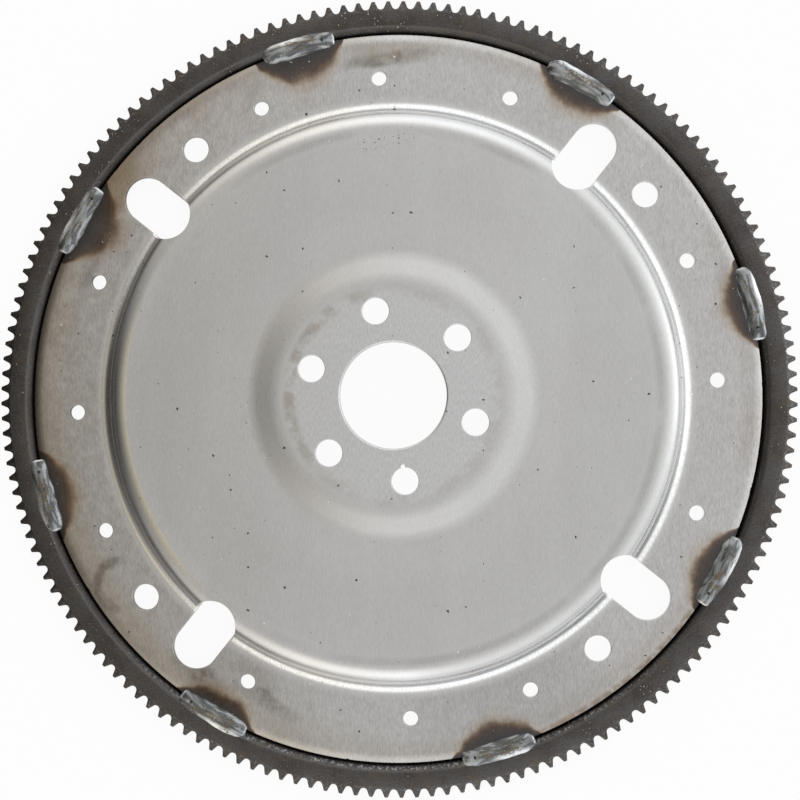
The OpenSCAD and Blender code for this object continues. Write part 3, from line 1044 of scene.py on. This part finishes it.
# Dull scorched metal with painted shade on the inner flank
DULL_SHADED_WELD = (0.085, 0.085, 0.086)
# Clean metal, its colour raised as a painted highlight on the outer flank
CLEAN_HIGHLIGHT_WELD = (0.90, 0.915, 0.925)
SEAM = (0.03, 0.03, 0.034)
DARK_SLAG = (0.14, 0.105, 0.055)
PALE_SLAG = (0.50, 0.40, 0.19)
PIT = (0.04, 0.03, 0.02)
# Colour of painted highlights on the ends
END_HIGHLIGHT = (0.92, 0.93, 0.95)
# How quickly the streaks change along a weld, across it, and from one weld to the next
STREAK_ALONG = 2.1
STREAK_ACROSS = 3.7
STREAK_PER_M = 25.0


def weld_material():
    """Smooth grey weld metal with dark seams along it, brown slag in its middle and a dark pit, with
    painted highlights on its outer flank and ends and painted shade on its inner flank.
    """
    material, graph = new_material("weld_metal")
    point = graph.picture_point()
    along = graph.add("Attribute", {"attribute_name": "along"}, output="Fac")
    across = graph.add("Attribute", {"attribute_name": "across"}, output="Fac")
    x, y, _ = graph.axes(point)
    own = x * STREAK_PER_M + y * STREAK_PER_M
    flow = graph.add("CombineXYZ", None, {0: along * STREAK_ALONG, 1: across * STREAK_ACROSS, 2: own})
    streak = graph.noise(flow, 1.0, 3.0, 0.5)
    patch = graph.noise(point, 4.5 * MM, 3.0, 0.6)
    fine = graph.noise(point, 0.7 * MM, 3.0, 0.6)
    colour = graph.mix(streak.rise(0.36, 0.66), DARK_WELD, PALE_WELD)
    # Dull scorched metal with painted shade on the inner flank
    dull_and_shaded = across.fall(-0.85, -0.1) * streak.fall(0.4, 0.6)
    colour = graph.mix(dull_and_shaded * 0.5, colour, DULL_SHADED_WELD)
    # Clean metal on the outer flank, its colour raised as a painted highlight
    clean_and_highlight = across.rise(0.2, 0.6) * along.rise(-0.45, 0.25)
    colour = graph.mix(clean_and_highlight * 0.92, colour, CLEAN_HIGHLIGHT_WELD)
    seam = abs(streak - 0.5).fall(0.006, 0.026) * patch.rise(0.42, 0.55) * abs(across).fall(0.5, 0.85)
    colour = graph.mix(seam * 0.9, colour, SEAM)
    middle = abs(across).fall(0.25, 0.6) * abs(along).fall(0.4, 0.75)
    slag = patch.rise(0.45, 0.55) * middle * fine.rise(0.40, 0.56)
    colour = graph.mix(slag * 0.9, colour, graph.mix(fine.rise(0.6, 0.75), DARK_SLAG, PALE_SLAG))
    pit_x = (along + CRATER_AT) * (WELD_L / 2 / MM)
    pit_y = (across + 0.05) * (END_HALF_W / MM)
    pit = ((pit_x * pit_x + pit_y * pit_y) ** 0.5).fall(0.35, 0.9)
    colour = graph.mix(pit * 0.9, colour, PIT)
    # Painted highlights on the ends
    lit_ends = abs(along).rise(0.92, 0.975) * fine.rise(0.35, 0.5)
    colour = graph.mix(lit_ends * 0.9, colour, END_HIGHLIGHT)
    rough = 0.28 - clean_and_highlight * 0.08 + slag * 0.3 + pit * 0.4 + (fine - 0.5) * 0.12
    normal = graph.bump(streak * 0.6 + fine * 0.25 - seam * 0.5, 0.3, 0.12 * MM)
    graph.surface(Base_Color=colour, Metallic=1 - slag * 0.7, Roughness=rough, Normal=normal)
    return material


# Stage

WHITE = (1.0, 1.0, 1.0)
FLOOR_R = 4.0
FLOOR_SIDES = 64
FLOOR_GREY = (0.9, 0.9, 0.9)
# Share of the floor that shows as plain white; the rest takes the shadow
FLOOR_WHITE = 0.93


def floor_material():
    """A pale floor: white to the eye, with a faint shadow, and in the metal less bright to the left."""
    material, graph = new_material("pale_floor")
    seen = graph.add("LightPath", output="Is Camera Ray")
    mirrored = graph.add("LightPath", output="Is Glossy Ray")
    shown = seen.most(mirrored).most(graph.add("LightPath", output="Is Transmission Ray"))
    x = graph.axes(graph.picture_point())[0]
    light = 1 - mirrored * x.fall(-0.25, 0.05) * 0.9
    matt = graph.add("BsdfDiffuse", None, {"Color": opaque(FLOOR_GREY)})
    white = graph.add("Emission", None, {"Color": graph.grey(light), "Strength": 1.0})
    shader = graph.add("MixShader", None, {0: shown * FLOOR_WHITE, 1: matt, 2: white})
    graph.add("OutputMaterial", None, {"Surface": shader})
    return material


def make_floor():
    """A wide round floor under the part."""
    mesh = bmesh.new()
    bmesh.ops.create_circle(mesh, cap_ends=True, segments=FLOOR_SIDES, radius=FLOOR_R)
    bmesh.ops.translate(mesh, verts=mesh.verts, vec=(0, 0, cad_low[2]))
    floor = make_object("floor", mesh)
    finish_with(floor, floor_material())


# The tent's light, with ways as (right, up) in the picture; its lobe to the right is a sum of powers
TENT_RIGHT_WAY = (0.985, 0.174)
RIGHT_LOBE = ((1.0, 0.25), (2.0, 0.55), (4.0, 0.18), (12.0, 2.0))
TENT_LEAST = 0.05
TENT_TOP = 0.68
# Shares of what is over 1 that stays, and of what comes from low down that is taken off
BRIGHT_KEPT = 0.6
LOW_CUT = 0.2
COOL = (0.955, 0.98, 1.0)
WARM = (1.0, 0.965, 0.895)


def light_world():
    """A light tent: open to the right, top and bottom of the picture, and dark to its left."""
    world = bpy.data.worlds.new("light_tent")
    world.use_nodes = True
    bpy.context.scene.world = world
    graph = Graph(world.node_tree)
    direction = graph.add("TexCoord", output="Generated")
    direction = graph.add(
        "Mapping", {"vector_type": "POINT"}, {"Vector": direction, "Rotation": (0, 0, PICTURE_TURN)})
    x, y, z = graph.axes(direction)
    right = (x * TENT_RIGHT_WAY[0] + y * TENT_RIGHT_WAY[1]).most(0.0)
    left = (0 - x).most(0.0)
    up_down = y * y
    from_right = sum(right ** power * weight for power, weight in RIGHT_LOBE) * (1 - abs(y) * 0.6)
    from_ends = (up_down * 1.45 - up_down ** 3.0 * 0.7) * (1 - right * 0.6)
    lower_right = (x * LOWER_RIGHT_WAY[0] + y * LOWER_RIGHT_WAY[1]).most(0.0)
    light = TENT_LEAST + (1 - left) ** 0.95 * TENT_TOP + from_right + from_ends
    light = light * (1 - lower_right ** 8.0 * 0.3)
    light = light.least(1.0) + (light - 1).most(0.0) * BRIGHT_KEPT
    light = light * (1 - z.fall(0.12, 0.4) * LOW_CUT)
    cool = graph.mix(z.fall(0.1, 0.8), WHITE, COOL)
    tint = graph.mix(left.rise(0.0, 0.3), cool, WARM)
    lit = graph.mix(1.0, tint, graph.grey(light), "MULTIPLY")
    seen = graph.add("LightPath", output="Is Camera Ray")
    shown = graph.mix(seen, lit, WHITE)
    background = graph.add("Background", None, {"Color": shown, "Strength": 1.0})
    graph.add("OutputWorld", None, {"Surface": background})


def aim_camera():
    """The camera, where the picture was taken from."""
    data = bpy.data.cameras.new("camera")
    data.sensor_fit = "HORIZONTAL"
    data.sensor_width = SENSOR_MM
    data.lens = FOCAL_PIXELS / PICTURE_SIDE * SENSOR_MM
    data.shift_x = (PICTURE_SIDE / 2 - AXIS_PIXEL[0]) / PICTURE_SIDE
    data.shift_y = (AXIS_PIXEL[1] - PICTURE_SIDE / 2) / PICTURE_SIDE
    data.clip_start = 10 * MM
    target = Vector((0, 0, ANNULUS_FRONT))
    back = turned(math.sin(CAMERA_TILT), CAMERA_TILT_TOWARDS, math.cos(CAMERA_TILT))
    picture_top = turned(1.0, math.pi / 2 - PICTURE_TURN)
    right = picture_top.cross(back).normalized()
    top = back.cross(right)
    place = Matrix((right, top, back)).transposed().to_4x4()
    place.translation = target + back * CAMERA_REACH
    camera = bpy.data.objects.new("camera", data)
    camera.matrix_world = place
    bpy.context.scene.collection.objects.link(camera)
    bpy.context.scene.camera = camera


def place_piece(piece, node, material):
    """Gives a piece its finish and lets it stand for its node."""
    finish_with(piece, material)
    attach(piece, "root")
    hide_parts(node)


bpy.context.scene.view_settings.view_transform = "Standard"
aim_camera()
light_world()
make_floor()
place_piece(make_plate(), "plate", plate_material())
place_piece(make_ring(), "ring_gear", ring_material())
bead_material = weld_material()
for bead in range(1, WELD_COUNT + 1):
    place_piece(make_weld(bead), f"weld_bead_{bead}", bead_material)
